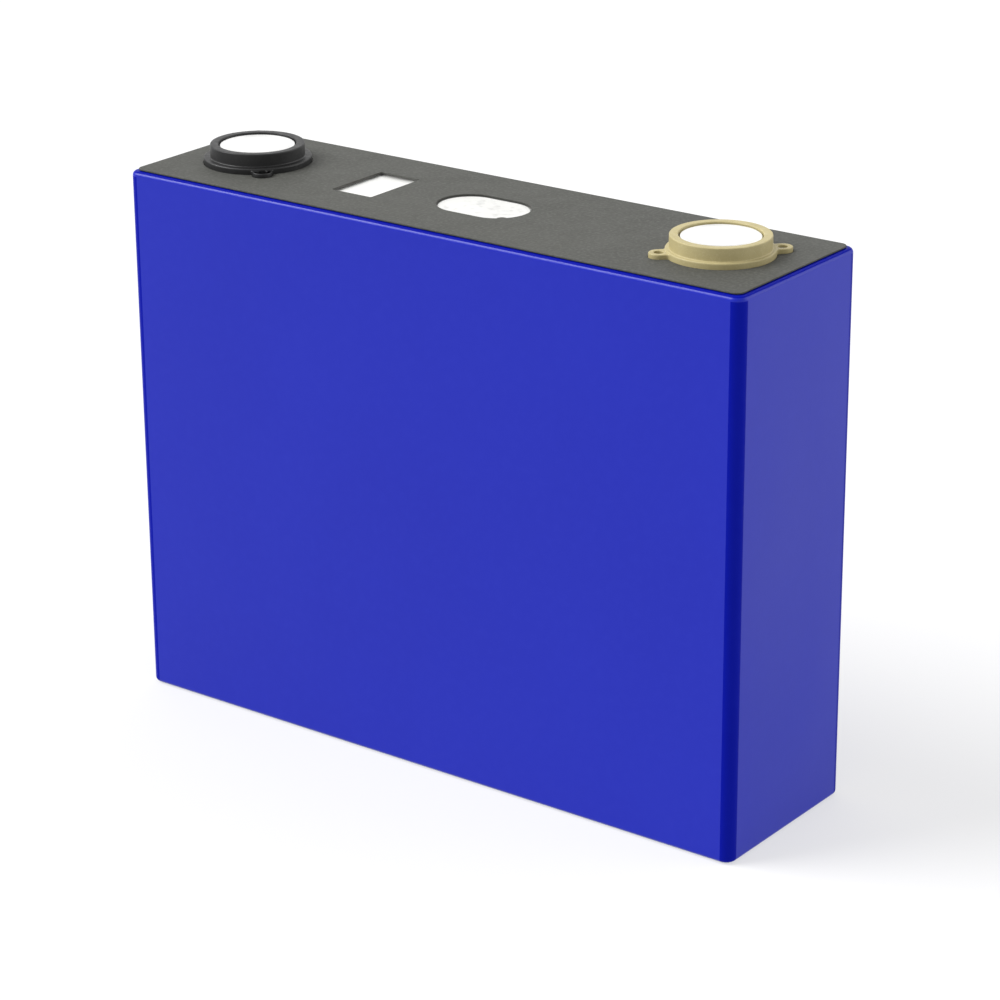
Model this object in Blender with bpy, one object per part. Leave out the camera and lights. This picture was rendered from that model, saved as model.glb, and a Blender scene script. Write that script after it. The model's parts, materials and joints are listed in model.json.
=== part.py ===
"""A prismatic lithium iron phosphate battery cell, wrapped in film, as separate pieces.

Metres, +Z up. X runs along the cell's length, Y through its thickness. The origin is
the middle of the underside. The positive terminal stands at -X, the negative at +X.
"""

import math

import bmesh
import bpy
from mathutils import Matrix, Vector

# Wrapped body, without the terminals
CELL_LENGTH = 0.173
CELL_WIDTH = 0.047
BODY_HEIGHT = 0.133
CORNER_RADIUS = 0.0027

# Thin layers and clearances
GAP = 0.0003
GLUE = 0.00015
FILM = 0.00015
SHEET = 0.00035

# Aluminium can and its cover plate
CAN_WALL = 0.0008
CAN_BASE = 0.0012
COVER = 0.0020

# Wrap film: how it folds over the top and under the base
SHOULDER_RADIUS = 0.0011
SHOULDER_STEPS = 4
FOOT_RADIUS = 0.0010
FOOT_STEPS = 3
TOP_HEM = 0.0040
BOTTOM_HEM = 0.0080
SHEET_INSET = 0.0013
SHEET_CORNER = 0.0020

# Levels, from the base up
HEM_BOTTOM = FILM + GLUE
CAN_BOTTOM = HEM_BOTTOM + FILM + GLUE
FLOOR = CAN_BOTTOM + CAN_BASE
SHEET_BOTTOM = BODY_HEIGHT - SHEET
HEM_TOP = SHEET_BOTTOM - GLUE
COVER_TOP = HEM_TOP - FILM - GLUE
COVER_BOTTOM = COVER_TOP - COVER

# Plan sizes, from the film inwards
CAN_INSET = FILM + GLUE
CAVITY_INSET = CAN_INSET + CAN_WALL
LINER_INSET = CAVITY_INSET + GAP
LINER_WALL = 0.0002
INNER_INSET = LINER_INSET + LINER_WALL + GAP
INNER_LENGTH = CELL_LENGTH - 2 * INNER_INSET
INNER_WIDTH = CELL_WIDTH - 2 * INNER_INSET

# Terminals
TERMINAL_X = 0.066
PAD_RADIUS = 0.0090
PAD_BASE_RADIUS = 0.0100
PAD_STEP = 0.0012
PAD_SKIN = 0.0009
PAD_TOP = 0.1371
COLLAR_TOP = 0.1375
COLLAR_RADIUS = 0.0113
COLLAR_FLOOR = 0.0015
COLLAR_POCKET = 0.0018
COLLAR_EDGE = 0.0002
FLANGE_TOP = 0.1344
FLANGE_RADIUS = {"positive": 0.0129, "negative": 0.0122}
EAR_REACH = 0.0160
EAR_WIDTH = 0.0046
EAR_HOLE = 0.0011
EAR_ANGLE = {"positive": -45.0, "negative": 45.0}
POST_RADIUS = 0.0041
POST_FLANGE_RADIUS = 0.0083
POST_FLANGE = 0.0011
POST_BOSS_RADIUS = 0.0035
SEAL_RADIUS = 0.0051
SEAL_FLANGE_RADIUS = 0.0081
COVER_HOLE_RADIUS = SEAL_RADIUS + GAP

# Vent, code window and fill hole
VENT_X = 0.0016
VENT_WINDOW = (0.0234, 0.0154)
VENT_RECESS = (0.0210, 0.0130)
VENT_OPENING = (0.0180, 0.0100)
VENT_RECESS_DEPTH = 0.0008
VENT_RIM = 0.00035
VENT_WEB = 0.0002
VENT_SCORE = 0.0001
VENT_BUMP_ANGLE = -47.0
VENT_BUMP_RADIUS = 0.0014
VENT_BUMP_DEPTH = 0.0008
CODE_X = -0.0298
CODE_WINDOW = (0.0116, 0.0184)
FILL_X = 0.0330
FILL_RADIUS = 0.0016
FILL_RECESS_RADIUS = 0.0042
FILL_RECESS_DEPTH = 0.0009

# Plastics under the cover plate
INSULATOR = 0.0012
INSULATOR_WALL = 0.0012
INSULATOR_START = 0.0240
INSULATOR_SKIRT = 0.1190
MOULDED_CORNER = 0.0010
INSULATOR_TOP = COVER_BOTTOM - GAP
INSULATOR_BOTTOM = INSULATOR_TOP - INSULATOR
GUARD_SLOTS = 7
GUARD_SLOT = (0.0150, 0.0024)
GUARD_PITCH = 0.0048

# Current collectors and foil tabs
COLLECTOR = 0.0014
COLLECTOR_TOP = INSULATOR_BOTTOM - GAP - POST_FLANGE - GAP
WELD_START = 0.0300
WELD_END = 0.0550
WELD_HALF_WIDTH = 0.0185
LINK_HALF_WIDTH = 0.0080
HEAD_START = 0.0575
HEAD_END = 0.0760
HEAD_HALF_WIDTH = 0.0110
TAB = 0.0010
TAB_BEND = 0.0017
TAB_BEND_STEPS = 4
TAB_Y = 0.0110
TAB_END_Y = 0.0180
TAB_MARGIN = 0.0010

# Electrode rolls and what holds them
PAD_SHEET = 0.0008
PAD_SHEET_BOTTOM = FLOOR + GAP + LINER_WALL + GAP
DRAIN_HOLE_RADIUS = 0.0015
DRAIN_COLUMNS = 8
DRAIN_PITCH = 0.0200
DRAIN_Y = 0.0110
ROLL_BOTTOM = PAD_SHEET_BOTTOM + PAD_SHEET + GAP
ROLL_TOP = 0.1183
ROLL_THICKNESS = 0.0210
ROLL_SPACING = 0.0004
ROLL_HALF_LENGTH = 0.0843
ROLL_TURNS = 3
ELECTRODE = 0.0005
SEPARATOR = 0.0002
ANODE_TRIM = 0.0012
CATHODE_TRIM = 0.0022
TAPE = (0.0200, 0.0800)

# Smoothness of round pieces
TURNED_STEPS = 36
INNER_STEPS = 20
HOLE_STEPS = 16
CORNER_STEPS = 5
WINDING_STEPS = 8
SMOOTH_ANGLE = math.radians(35)


def clear_scene():
    for thing in list(bpy.data.objects):
        bpy.data.objects.remove(thing)


def material(name, colour, roughness, metallic=0.0):
    """A Principled material of one colour (linear RGB)."""
    made = bpy.data.materials.new(name)
    made.use_nodes = True
    shader = made.node_tree.nodes["Principled BSDF"]
    shader.inputs["Base Color"].default_value = (*colour, 1.0)
    shader.inputs["Roughness"].default_value = roughness
    shader.inputs["Metallic"].default_value = metallic
    return made


# Outlines: lists of (x, y) points, anticlockwise


def arc(centre, radius, start, end, steps):
    """Points on an arc, angles in degrees, both ends included."""
    points = []
    for i in range(steps + 1):
        angle = math.radians(start + (end - start) * i / steps)
        points.append((centre[0] + radius * math.cos(angle), centre[1] + radius * math.sin(angle)))
    return points


def rounded_rectangle(length, width, radius, x=0.0, y=0.0):
    across = length / 2 - radius
    deep = width / 2 - radius
    corners = ((across, deep), (-across, deep), (-across, -deep), (across, -deep))
    points = []
    for turn, corner in enumerate(corners):
        centre = (x + corner[0], y + corner[1])
        points += arc(centre, radius, 90 * turn, 90 * turn + 90, CORNER_STEPS)
    return points


def obround(length, width, x=0.0, y=0.0, steps=HOLE_STEPS // 2):
    """A slot shape: two half circles joined by straight sides."""
    across = (length - width) / 2
    right = arc((x + across, y), width / 2, -90, 90, steps)
    left = arc((x - across, y), width / 2, 90, 270, steps)
    return right + left


def circle(radius, x=0.0, y=0.0, steps=HOLE_STEPS):
    return arc((x, y), radius, 0, 360, steps)[:-1]


def body_outline(inset):
    """The wrapped body's plan, drawn in by inset, with its corners kept round."""
    radius = max(CORNER_RADIUS - inset, GAP)
    return rounded_rectangle(CELL_LENGTH - 2 * inset, CELL_WIDTH - 2 * inset, radius)


# Solids


def node(name, bm, look):
    """Makes one object from a bmesh, faces out, round parts shaded smooth."""
    bmesh.ops.recalc_face_normals(bm, faces=bm.faces)
    mesh = bpy.data.meshes.new(name)
    bm.to_mesh(mesh)
    bm.free()
    mesh.shade_smooth()
    mesh.set_sharp_from_angle(angle=SMOOTH_ANGLE)
    made = bpy.data.objects.new(name, mesh)
    made.data.materials.append(look)
    bpy.context.collection.objects.link(made)
    return made


def lofted(name, sections, look, ring=False):
    """Skins a stack of outlines [(outline, z), ...], capped at both ends or closed to a ring."""
    bm = bmesh.new()
    loops = [[bm.verts.new((x, y, z)) for x, y in outline] for outline, z in sections]
    pairs = list(zip(loops, loops[1:]))
    if ring:
        pairs.append((loops[-1], loops[0]))
    else:
        bm.faces.new(loops[0])
        bm.faces.new(loops[-1])
    for first, second in pairs:
        for i in range(len(first)):
            bm.faces.new((first[i - 1], first[i], second[i], second[i - 1]))
    return node(name, bm, look)


def plate(name, outline, bottom, top, look):
    """An outline extruded upwards."""
    bm = bmesh.new()
    face = bm.faces.new([bm.verts.new((x, y, bottom)) for x, y in outline])
    raised = bmesh.ops.extrude_face_region(bm, geom=[face])
    moved = [item for item in raised["geom"] if isinstance(item, bmesh.types.BMVert)]
    bmesh.ops.translate(bm, verts=moved, vec=(0.0, 0.0, top - bottom))
    return node(name, bm, look)


def turned(name, profile, x, look, steps=TURNED_STEPS, ring=False):
    """Spins a profile of (radius, z) points round the upright axis at x."""
    bm = bmesh.new()
    verts = [bm.verts.new((x + radius, 0.0, z)) for radius, z in profile]
    edges = [bm.edges.new(pair) for pair in zip(verts, verts[1:])]
    if ring:
        edges.append(bm.edges.new((verts[-1], verts[0])))
    bmesh.ops.spin(
        bm,
        geom=verts + edges,
        cent=(x, 0.0, 0.0),
        axis=(0.0, 0.0, 1.0),
        angle=math.tau,
        steps=steps,
        use_merge=True,
    )
    bmesh.ops.remove_doubles(bm, verts=bm.verts, dist=1e-7)
    return node(name, bm, look)


def combine(target, tool, operation):
    """Cuts tool from target, or joins it on; the tool itself stays out of the model."""
    step = target.modifiers.new(tool.name, "BOOLEAN")
    step.operation = operation
    step.solver = "EXACT"
    step.object = tool
    tool.hide_render = True
    tool.display_type = "WIRE"


def cut(target, name, outline, bottom, top, look):
    combine(target, plate(name, outline, bottom, top, look), "DIFFERENCE")


# The cell's pieces


def make_can(looks):
    """A deep-drawn can: rounded foot, upright walls and a rim rounded by its weld."""
    foot = FOOT_RADIUS - CAN_INSET
    rim = SHOULDER_RADIUS - CAN_INSET
    sections = []
    for x, z in arc((FOOT_RADIUS, CAN_BOTTOM + foot), foot, -90, -180, FOOT_STEPS):
        sections.append((body_outline(x), z))
    for x, z in arc((SHOULDER_RADIUS, COVER_TOP - rim), rim, 180, 90, FOOT_STEPS):
        sections.append((body_outline(x), z))
    sections.append((body_outline(CAVITY_INSET), FLOOR + GAP))
    sections.append((body_outline(CAVITY_INSET + GAP), FLOOR))
    lofted("can", sections, looks["aluminium"])


def make_wrap_film(looks):
    """One skin round the can, hemmed over its rim and under its base."""
    shoulder = (SHOULDER_RADIUS, HEM_TOP - SHOULDER_RADIUS)
    foot = (FOOT_RADIUS, HEM_BOTTOM + FOOT_RADIUS)
    outside = [(BOTTOM_HEM, HEM_BOTTOM)]
    outside += arc(foot, FOOT_RADIUS, -90, -180, FOOT_STEPS)
    outside += arc(shoulder, SHOULDER_RADIUS, 180, 90, SHOULDER_STEPS)
    outside.append((TOP_HEM, HEM_TOP))
    inside = [(TOP_HEM, HEM_TOP - FILM)]
    inside += arc(shoulder, SHOULDER_RADIUS - FILM, 90, 180, SHOULDER_STEPS)
    inside += arc(foot, FOOT_RADIUS - FILM, -180, -90, FOOT_STEPS)
    inside.append((BOTTOM_HEM, HEM_BOTTOM + FILM))
    sections = [(body_outline(x), z) for x, z in outside + inside]
    lofted("wrap_film", sections, looks["blue_film"], ring=True)


def make_bottom_film(looks):
    """A clear sheet that closes the film's hem on the underside."""
    plate("bottom_film", body_outline(FOOT_RADIUS), 0.0, FILM, looks["clear_film"])


def ear_outline(polarity, x, side, clearance=0.0):
    """One ear of a collar: straight sides and a round tip, on a diagonal."""
    half = EAR_WIDTH / 2
    start = COLLAR_RADIUS - 2 * COLLAR_EDGE
    outline = [(start, -half - clearance)]
    outline += arc((EAR_REACH - half, 0.0), half + clearance, -90, 90, HOLE_STEPS // 2)
    outline.append((start, half + clearance))
    turn = Matrix.Rotation(math.radians(EAR_ANGLE[polarity] + 180 * side), 2)
    return [(x + point.x, point.y) for point in (turn @ Vector(place) for place in outline)]


def make_top_sheet(looks):
    """The grey insulating sheet, cut out round the terminals, the vent and the code."""
    outline = rounded_rectangle(
        CELL_LENGTH - 2 * SHEET_INSET, CELL_WIDTH - 2 * SHEET_INSET, SHEET_CORNER
    )
    sheet = plate("top_sheet", outline, SHEET_BOTTOM, BODY_HEIGHT, looks["grey_sheet"])
    low = SHEET_BOTTOM - SHEET
    high = BODY_HEIGHT + SHEET
    for polarity, x in terminals():
        hole = circle(FLANGE_RADIUS[polarity] + GAP, x, steps=TURNED_STEPS)
        cut(sheet, f"{polarity}_sheet_hole", hole, low, high, looks["grey_sheet"])
        for side in (0, 1):
            ear = ear_outline(polarity, x, side, GAP)
            cut(sheet, f"{polarity}_sheet_ear_{side}", ear, low, high, looks["grey_sheet"])
    code = rounded_rectangle(*CODE_WINDOW, GAP, CODE_X)
    cut(sheet, "code_window", code, low, high, looks["grey_sheet"])
    cut(sheet, "vent_window", vent_window(), low, high, looks["grey_sheet"])


def make_sheet_adhesive(looks):
    """The adhesive layer that bonds the top sheet to the cover plate, inside the film's hem."""
    bottom = COVER_TOP + GLUE
    outline = body_outline(TOP_HEM + GAP)
    layer = plate("sheet_adhesive", outline, bottom, HEM_TOP, looks["adhesive"])
    low = bottom - GLUE
    high = HEM_TOP + GLUE
    for polarity, x in terminals():
        hole = circle(FLANGE_RADIUS[polarity] + 2 * GAP, x, steps=TURNED_STEPS)
        cut(layer, f"{polarity}_bond_hole", hole, low, high, looks["adhesive"])
    code = rounded_rectangle(CODE_WINDOW[0] + GAP, CODE_WINDOW[1] + GAP, GAP, CODE_X)
    cut(layer, "code_bond_window", code, low, high, looks["adhesive"])
    cut(layer, "vent_bond_window", obround(*VENT_WINDOW, VENT_X), low, high, looks["adhesive"])


def vent_window():
    """The vent's cut-out: a slot shape with a small round bump into its right end."""
    radius = VENT_WINDOW[1] / 2
    reach = (VENT_WINDOW[0] - VENT_WINDOW[1]) / 2
    centre = (VENT_X + reach, 0.0)
    away = radius + VENT_BUMP_RADIUS - VENT_BUMP_DEPTH
    bump = VENT_BUMP_RADIUS
    near = math.degrees(math.acos((radius**2 + away**2 - bump**2) / (2 * radius * away)))
    round_it = math.degrees(math.acos((bump**2 + away**2 - radius**2) / (2 * bump * away)))
    ray = math.radians(VENT_BUMP_ANGLE)
    middle = (centre[0] + away * math.cos(ray), away * math.sin(ray))
    back = VENT_BUMP_ANGLE + 180
    outline = arc(centre, radius, -90, VENT_BUMP_ANGLE - near, CORNER_STEPS)
    outline += arc(middle, bump, back + round_it, back - round_it, CORNER_STEPS)[1:-1]
    outline += arc(centre, radius, VENT_BUMP_ANGLE + near, 90, HOLE_STEPS)
    outline += arc((VENT_X - reach, 0.0), radius, 90, 270, HOLE_STEPS)
    return outline


def make_cover_plate(looks):
    """The cover plate that closes the can, with its holes and recesses."""
    outline = body_outline(CAVITY_INSET + GAP)
    cover = plate("cover_plate", outline, COVER_BOTTOM, COVER_TOP, looks["aluminium"])
    low = COVER_BOTTOM - COVER
    high = COVER_TOP + COVER
    for polarity, x in terminals():
        hole = circle(COVER_HOLE_RADIUS, x, steps=INNER_STEPS)
        cut(cover, f"{polarity}_cover_hole", hole, low, high, looks["aluminium"])
    recess = obround(*VENT_RECESS, VENT_X)
    cut(cover, "vent_recess", recess, COVER_TOP - VENT_RECESS_DEPTH, high, looks["aluminium"])
    cut(cover, "vent_opening", obround(*VENT_OPENING, VENT_X), low, high, looks["aluminium"])
    fill_recess = circle(FILL_RECESS_RADIUS, FILL_X, steps=INNER_STEPS)
    fill_floor = COVER_TOP - FILL_RECESS_DEPTH
    cut(cover, "fill_recess", fill_recess, fill_floor, high, looks["aluminium"])
    cut(cover, "fill_hole", circle(FILL_RADIUS, FILL_X), low, high, looks["aluminium"])


def make_vent(looks):
    """A thin burst plate with a thick rim and a scored oval, under a cover film."""
    length = VENT_RECESS[0] - 2 * GAP
    width = VENT_RECESS[1] - 2 * GAP
    bottom = COVER_TOP - VENT_RECESS_DEPTH + GAP
    steps = (
        (0.0, 0.0),
        (0.0, VENT_RIM),
        (0.0011, VENT_RIM),
        (0.0013, VENT_WEB),
        (0.0024, VENT_WEB),
        (0.0026, VENT_SCORE),
        (0.0028, VENT_SCORE),
        (0.0030, VENT_WEB),
    )
    sections = []
    for inset, height in steps:
        oval = obround(length - 2 * inset, width - 2 * inset, VENT_X)
        sections.append((oval, bottom + height))
    lofted("vent_membrane", sections, looks["vent_foil"])
    oval = obround(VENT_WINDOW[0] - 2 * GAP, VENT_WINDOW[1] - 2 * GAP, VENT_X)
    plate("vent_cover_film", oval, COVER_TOP + GLUE, HEM_TOP, looks["frosted_film"])


def make_fill_port(looks):
    """A rubber plug in the filling hole, under a welded aluminium cap."""
    floor = COVER_TOP - FILL_RECESS_DEPTH
    plug_radius = FILL_RADIUS - GAP
    plug = (
        (0.0, floor),
        (plug_radius, floor),
        (plug_radius, COVER_BOTTOM),
        (plug_radius / 2, COVER_BOTTOM - GAP),
        (0.0, COVER_BOTTOM - GAP),
    )
    turned("fill_plug", plug, FILL_X, looks["rubber"], INNER_STEPS)
    cap_radius = FILL_RECESS_RADIUS - GAP
    cap_rim = COVER_TOP - GLUE
    cap = (
        (0.0, cap_rim - GLUE),
        (cap_radius - 3 * GAP, cap_rim - GLUE),
        (cap_radius - 2 * GAP, cap_rim),
        (cap_radius, cap_rim),
        (cap_radius, floor + GAP),
        (0.0, floor + GAP),
    )
    turned("fill_cap", cap, FILL_X, looks["aluminium"], INNER_STEPS)


def make_terminal_pad(polarity, x, looks):
    """The welding face: a stepped disc with a blind bore for the post."""
    bottom = COVER_TOP + GAP + COLLAR_FLOOR + GAP
    step = bottom + PAD_STEP
    bevel = GAP
    bore_top = PAD_TOP - PAD_SKIN
    profile = (
        (0.0, PAD_TOP),
        (PAD_RADIUS - bevel, PAD_TOP),
        (PAD_RADIUS, PAD_TOP - bevel),
        (PAD_RADIUS, step),
        (PAD_BASE_RADIUS, step),
        (PAD_BASE_RADIUS, bottom),
        (POST_RADIUS + GAP, bottom),
        (POST_RADIUS + GAP, bore_top),
        (0.0, bore_top),
    )
    turned(f"{polarity}_terminal_pad", profile, x, looks["terminal_face"])


def make_upper_insulator(polarity, x, looks):
    """The moulded collar round a terminal, with two ears that stop it turning."""
    flange = FLANGE_RADIUS[polarity]
    bottom = COVER_TOP + GAP
    floor = bottom + COLLAR_FLOOR
    pocket = PAD_BASE_RADIUS + GAP
    lip = PAD_RADIUS + GAP
    lip_bottom = floor + COLLAR_POCKET
    edge = COLLAR_EDGE
    profile = (
        (POST_RADIUS + GAP, bottom),
        (flange, bottom),
        (flange, FLANGE_TOP - edge),
        (flange - edge, FLANGE_TOP),
        (COLLAR_RADIUS + edge, FLANGE_TOP),
        (COLLAR_RADIUS, FLANGE_TOP + edge),
        (COLLAR_RADIUS, COLLAR_TOP - 2 * edge),
        (COLLAR_RADIUS - edge / 2, COLLAR_TOP - edge / 2),
        (COLLAR_RADIUS - 2 * edge, COLLAR_TOP),
        (lip + edge, COLLAR_TOP),
        (lip, COLLAR_TOP - edge),
        (lip, lip_bottom),
        (pocket, lip_bottom),
        (pocket, floor),
        (POST_RADIUS + GAP, floor),
    )
    look = looks[f"{polarity}_collar"]
    collar = turned(f"{polarity}_upper_insulator", profile, x, look, ring=True)
    for side in (0, 1):
        name = f"{polarity}_ear_{side}"
        outline = ear_outline(polarity, x, side)
        ear = plate(name, outline, bottom + edge, FLANGE_TOP - 2 * edge, look)
        angle = math.radians(EAR_ANGLE[polarity] + 180 * side)
        reach = EAR_REACH - EAR_WIDTH / 2
        centre = (x + reach * math.cos(angle), reach * math.sin(angle))
        hole = circle(EAR_HOLE, *centre)
        cut(ear, f"{name}_hole", hole, bottom - edge, FLANGE_TOP + edge, look)
        combine(collar, ear, "UNION")


def make_terminal_post(polarity, x, looks):
    """The rivet: a boss in the collector, a flange and a shank up into the pad."""
    flange_bottom = COLLECTOR_TOP + GAP
    flange_top = flange_bottom + POST_FLANGE
    shank_top = PAD_TOP - PAD_SKIN - GAP
    bevel = GAP
    profile = (
        (0.0, shank_top),
        (POST_RADIUS - bevel, shank_top),
        (POST_RADIUS, shank_top - bevel),
        (POST_RADIUS, flange_top),
        (POST_FLANGE_RADIUS, flange_top),
        (POST_FLANGE_RADIUS, flange_bottom),
        (POST_BOSS_RADIUS, flange_bottom),
        (POST_BOSS_RADIUS, COLLECTOR_TOP - COLLECTOR),
        (0.0, COLLECTOR_TOP - COLLECTOR),
    )
    look = looks[f"{polarity}_metal"]
    turned(f"{polarity}_terminal_post", profile, x, look, INNER_STEPS)


def make_seal_ring(polarity, x, looks):
    """The gasket: a sleeve through the cover plate and a flange under it."""
    inner = POST_RADIUS + GAP
    profile = (
        (inner, INSULATOR_BOTTOM),
        (SEAL_FLANGE_RADIUS, INSULATOR_BOTTOM),
        (SEAL_FLANGE_RADIUS, INSULATOR_TOP),
        (SEAL_RADIUS, INSULATOR_TOP),
        (SEAL_RADIUS, COVER_TOP),
        (inner, COVER_TOP),
    )
    turned(f"{polarity}_seal_ring", profile, x, looks["seal"], INNER_STEPS, ring=True)


def make_lower_insulator(polarity, x, looks):
    """A moulded tray under the cover plate that holds the collector and the roll down."""
    side = math.copysign(1.0, x)
    end = INNER_LENGTH / 2
    middle = side * (INSULATOR_START + end) / 2
    length = end - INSULATOR_START

    def tray(inset):
        size = (length - 2 * inset, INNER_WIDTH - 2 * inset)
        return rounded_rectangle(*size, MOULDED_CORNER, middle)

    inner = tray(INSULATOR_WALL)
    sections = (
        (tray(0.0), INSULATOR_TOP),
        (tray(0.0), INSULATOR_SKIRT),
        (inner, INSULATOR_SKIRT),
        (inner, INSULATOR_BOTTOM),
    )
    look = looks["lower_plastic"]
    made = lofted(f"{polarity}_lower_insulator", sections, look)
    low = INSULATOR_BOTTOM - INSULATOR
    high = INSULATOR_TOP + INSULATOR
    hole = circle(SEAL_FLANGE_RADIUS + GAP, x, steps=INNER_STEPS)
    cut(made, f"{polarity}_insulator_hole", hole, low, high, look)
    if side > 0:
        cut(made, "fill_passage", circle(2 * FILL_RADIUS, FILL_X), low, high, look)


def make_current_collector(polarity, x, looks):
    """A flat plate: a wide weld zone, a narrow link and a head round the post."""
    side = math.copysign(1.0, x)
    outline = (
        (WELD_START, -WELD_HALF_WIDTH),
        (WELD_END, -WELD_HALF_WIDTH),
        (WELD_END, -LINK_HALF_WIDTH),
        (HEAD_START, -LINK_HALF_WIDTH),
        (HEAD_START, -HEAD_HALF_WIDTH),
        (HEAD_END, -HEAD_HALF_WIDTH),
        (HEAD_END, HEAD_HALF_WIDTH),
        (HEAD_START, HEAD_HALF_WIDTH),
        (HEAD_START, LINK_HALF_WIDTH),
        (WELD_END, LINK_HALF_WIDTH),
        (WELD_END, WELD_HALF_WIDTH),
        (WELD_START, WELD_HALF_WIDTH),
    )
    points = [(side * px, py) for px, py in outline]
    look = looks[f"{polarity}_metal"]
    bottom = COLLECTOR_TOP - COLLECTOR
    name = f"{polarity}_current_collector"
    made = plate(name, points, bottom, COLLECTOR_TOP, look)
    low = bottom - COLLECTOR
    high = COLLECTOR_TOP + COLLECTOR
    hole = circle(POST_BOSS_RADIUS + GAP, x, steps=INNER_STEPS)
    cut(made, f"{polarity}_collector_hole", hole, low, high, look)


def make_tab_stack(polarity, x, front, looks):
    """A stack of foil tabs: up out of the roll, then bent flat under the collector."""
    side = math.copysign(1.0, x)
    away = -1.0 if front else 1.0
    top = COLLECTOR_TOP - COLLECTOR - GAP
    bend = (TAB_Y + TAB_BEND, top - TAB / 2 - TAB_BEND)
    outer = [(TAB_Y - TAB / 2, ROLL_TOP + GAP)]
    outer += arc(bend, TAB_BEND + TAB / 2, 180, 90, TAB_BEND_STEPS)
    outer.append((TAB_END_Y, top))
    inner = [(TAB_END_Y, top - TAB)]
    inner += arc(bend, TAB_BEND - TAB / 2, 90, 180, TAB_BEND_STEPS)
    inner.append((TAB_Y + TAB / 2, ROLL_TOP + GAP))
    bm = bmesh.new()
    start = side * (WELD_START + TAB_MARGIN)
    end = side * (WELD_END - TAB_MARGIN)
    verts = [bm.verts.new((start, away * y, z)) for y, z in outer + inner]
    raised = bmesh.ops.extrude_face_region(bm, geom=[bm.faces.new(verts)])
    moved = [item for item in raised["geom"] if isinstance(item, bmesh.types.BMVert)]
    bmesh.ops.translate(bm, verts=moved, vec=(end - start, 0.0, 0.0))
    place = "front" if front else "back"
    node(f"{polarity}_tabs_{place}", bm, looks[f"{polarity}_foil"])


def make_weld_tape(polarity, x, looks):
    """Insulating tape over the welds on top of the collector."""
    side = math.copysign(1.0, x)
    length = WELD_END - WELD_START - 2 * TAB_MARGIN
    width = 2 * (WELD_HALF_WIDTH - TAB_MARGIN)
    middle = side * (WELD_START + WELD_END) / 2
    outline = rounded_rectangle(length, width, TAB_MARGIN, middle)
    bottom = COLLECTOR_TOP + GLUE
    plate(f"{polarity}_weld_tape", outline, bottom, bottom + FILM, looks["tape"])


def make_vent_guard(looks):
    """A slotted plate that keeps the rolls away from the vent."""
    length = 2 * (INSULATOR_START - GAP)
    outline = rounded_rectangle(length, INNER_WIDTH, MOULDED_CORNER)
    guard = plate("vent_guard", outline, INSULATOR_BOTTOM, INSULATOR_TOP, looks["lower_plastic"])
    low = INSULATOR_BOTTOM - INSULATOR
    high = INSULATOR_TOP + INSULATOR
    for i in range(GUARD_SLOTS):
        x = VENT_X + GUARD_PITCH * (i - (GUARD_SLOTS - 1) / 2)
        slot = [(x - across, along) for along, across in obround(*GUARD_SLOT, steps=4)]
        cut(guard, f"guard_slot_{i}", slot, low, high, looks["lower_plastic"])


def winding(straight, start, pitch, thickness):
    """One sheet of a flattened spiral: its inner and outer edge points, from core to end."""
    stops = [(0.0, -90.0)]
    for half_turn in range(2 * ROLL_TURNS):
        end = straight if half_turn % 2 == 0 else -straight
        for i in range(WINDING_STEPS + 1):
            stops.append((end, 180 * (half_turn + i / WINDING_STEPS) - 90))
    stops.append((0.0, 360 * ROLL_TURNS - 90))
    inner = []
    outer = []
    for x, angle in stops:
        radius = start + pitch * (angle + 90) / 360
        for edge, reach in ((inner, radius), (outer, radius + thickness)):
            turn = math.radians(angle)
            edge.append((x + reach * math.cos(turn), reach * math.sin(turn)))
    return inner, outer


def make_wound_sheet(name, edges, centre, away, trim, look):
    """Stands a wound sheet upright, its edges trimmed back from the separators' height."""
    bm = bmesh.new()
    walls = []
    for edge in edges:
        for z in (ROLL_BOTTOM + trim, ROLL_TOP - trim):
            walls.append([bm.verts.new((x, centre + away * -y, z)) for x, y in edge])
    inner_low, inner_high, outer_low, outer_high = walls
    around = (inner_low, outer_low, outer_high, inner_high)
    for i in range(4):
        first = around[i - 1]
        second = around[i]
        for j in range(1, len(first)):
            bm.faces.new((first[j - 1], first[j], second[j], second[j - 1]))
    bm.faces.new([wall[0] for wall in around])
    bm.faces.new([wall[-1] for wall in around])
    node(name, bm, look)


def make_roll(place, looks):
    """A flattened winding of anode, separator, cathode and separator, closed by a tape."""
    away = -1.0 if place == "front" else 1.0
    layers = (
        ("anode", ELECTRODE, ANODE_TRIM, "anode"),
        ("inner_separator", SEPARATOR, 0.0, "separator"),
        ("cathode", ELECTRODE, CATHODE_TRIM, "cathode"),
        ("outer_separator", SEPARATOR, 0.0, "separator"),
    )
    pitch = sum(thickness + GAP for _, thickness, _, _ in layers)
    radius = ROLL_THICKNESS / 2 + pitch / 4
    centre = away * (ROLL_SPACING / 2 + radius - pitch / 2)
    start = radius - ROLL_TURNS * pitch - (pitch - GAP)
    straight = ROLL_HALF_LENGTH - radius
    for kind, thickness, trim, look in layers:
        edges = winding(straight, start, pitch, thickness)
        make_wound_sheet(f"{place}_{kind}", edges, centre, away, trim, looks[look])
        start += thickness + GAP

    face = abs(centre) + radius + GLUE
    bm = bmesh.new()
    bmesh.ops.create_cube(bm, size=1.0)
    bmesh.ops.scale(bm, verts=bm.verts, vec=(TAPE[0], FILM, TAPE[1]))
    middle = (ROLL_BOTTOM + ROLL_TOP) / 2
    bmesh.ops.translate(bm, verts=bm.verts, vec=(0.0, away * (face + FILM / 2), middle))
    node(f"{place}_roll_tape", bm, looks["tape"])


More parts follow.
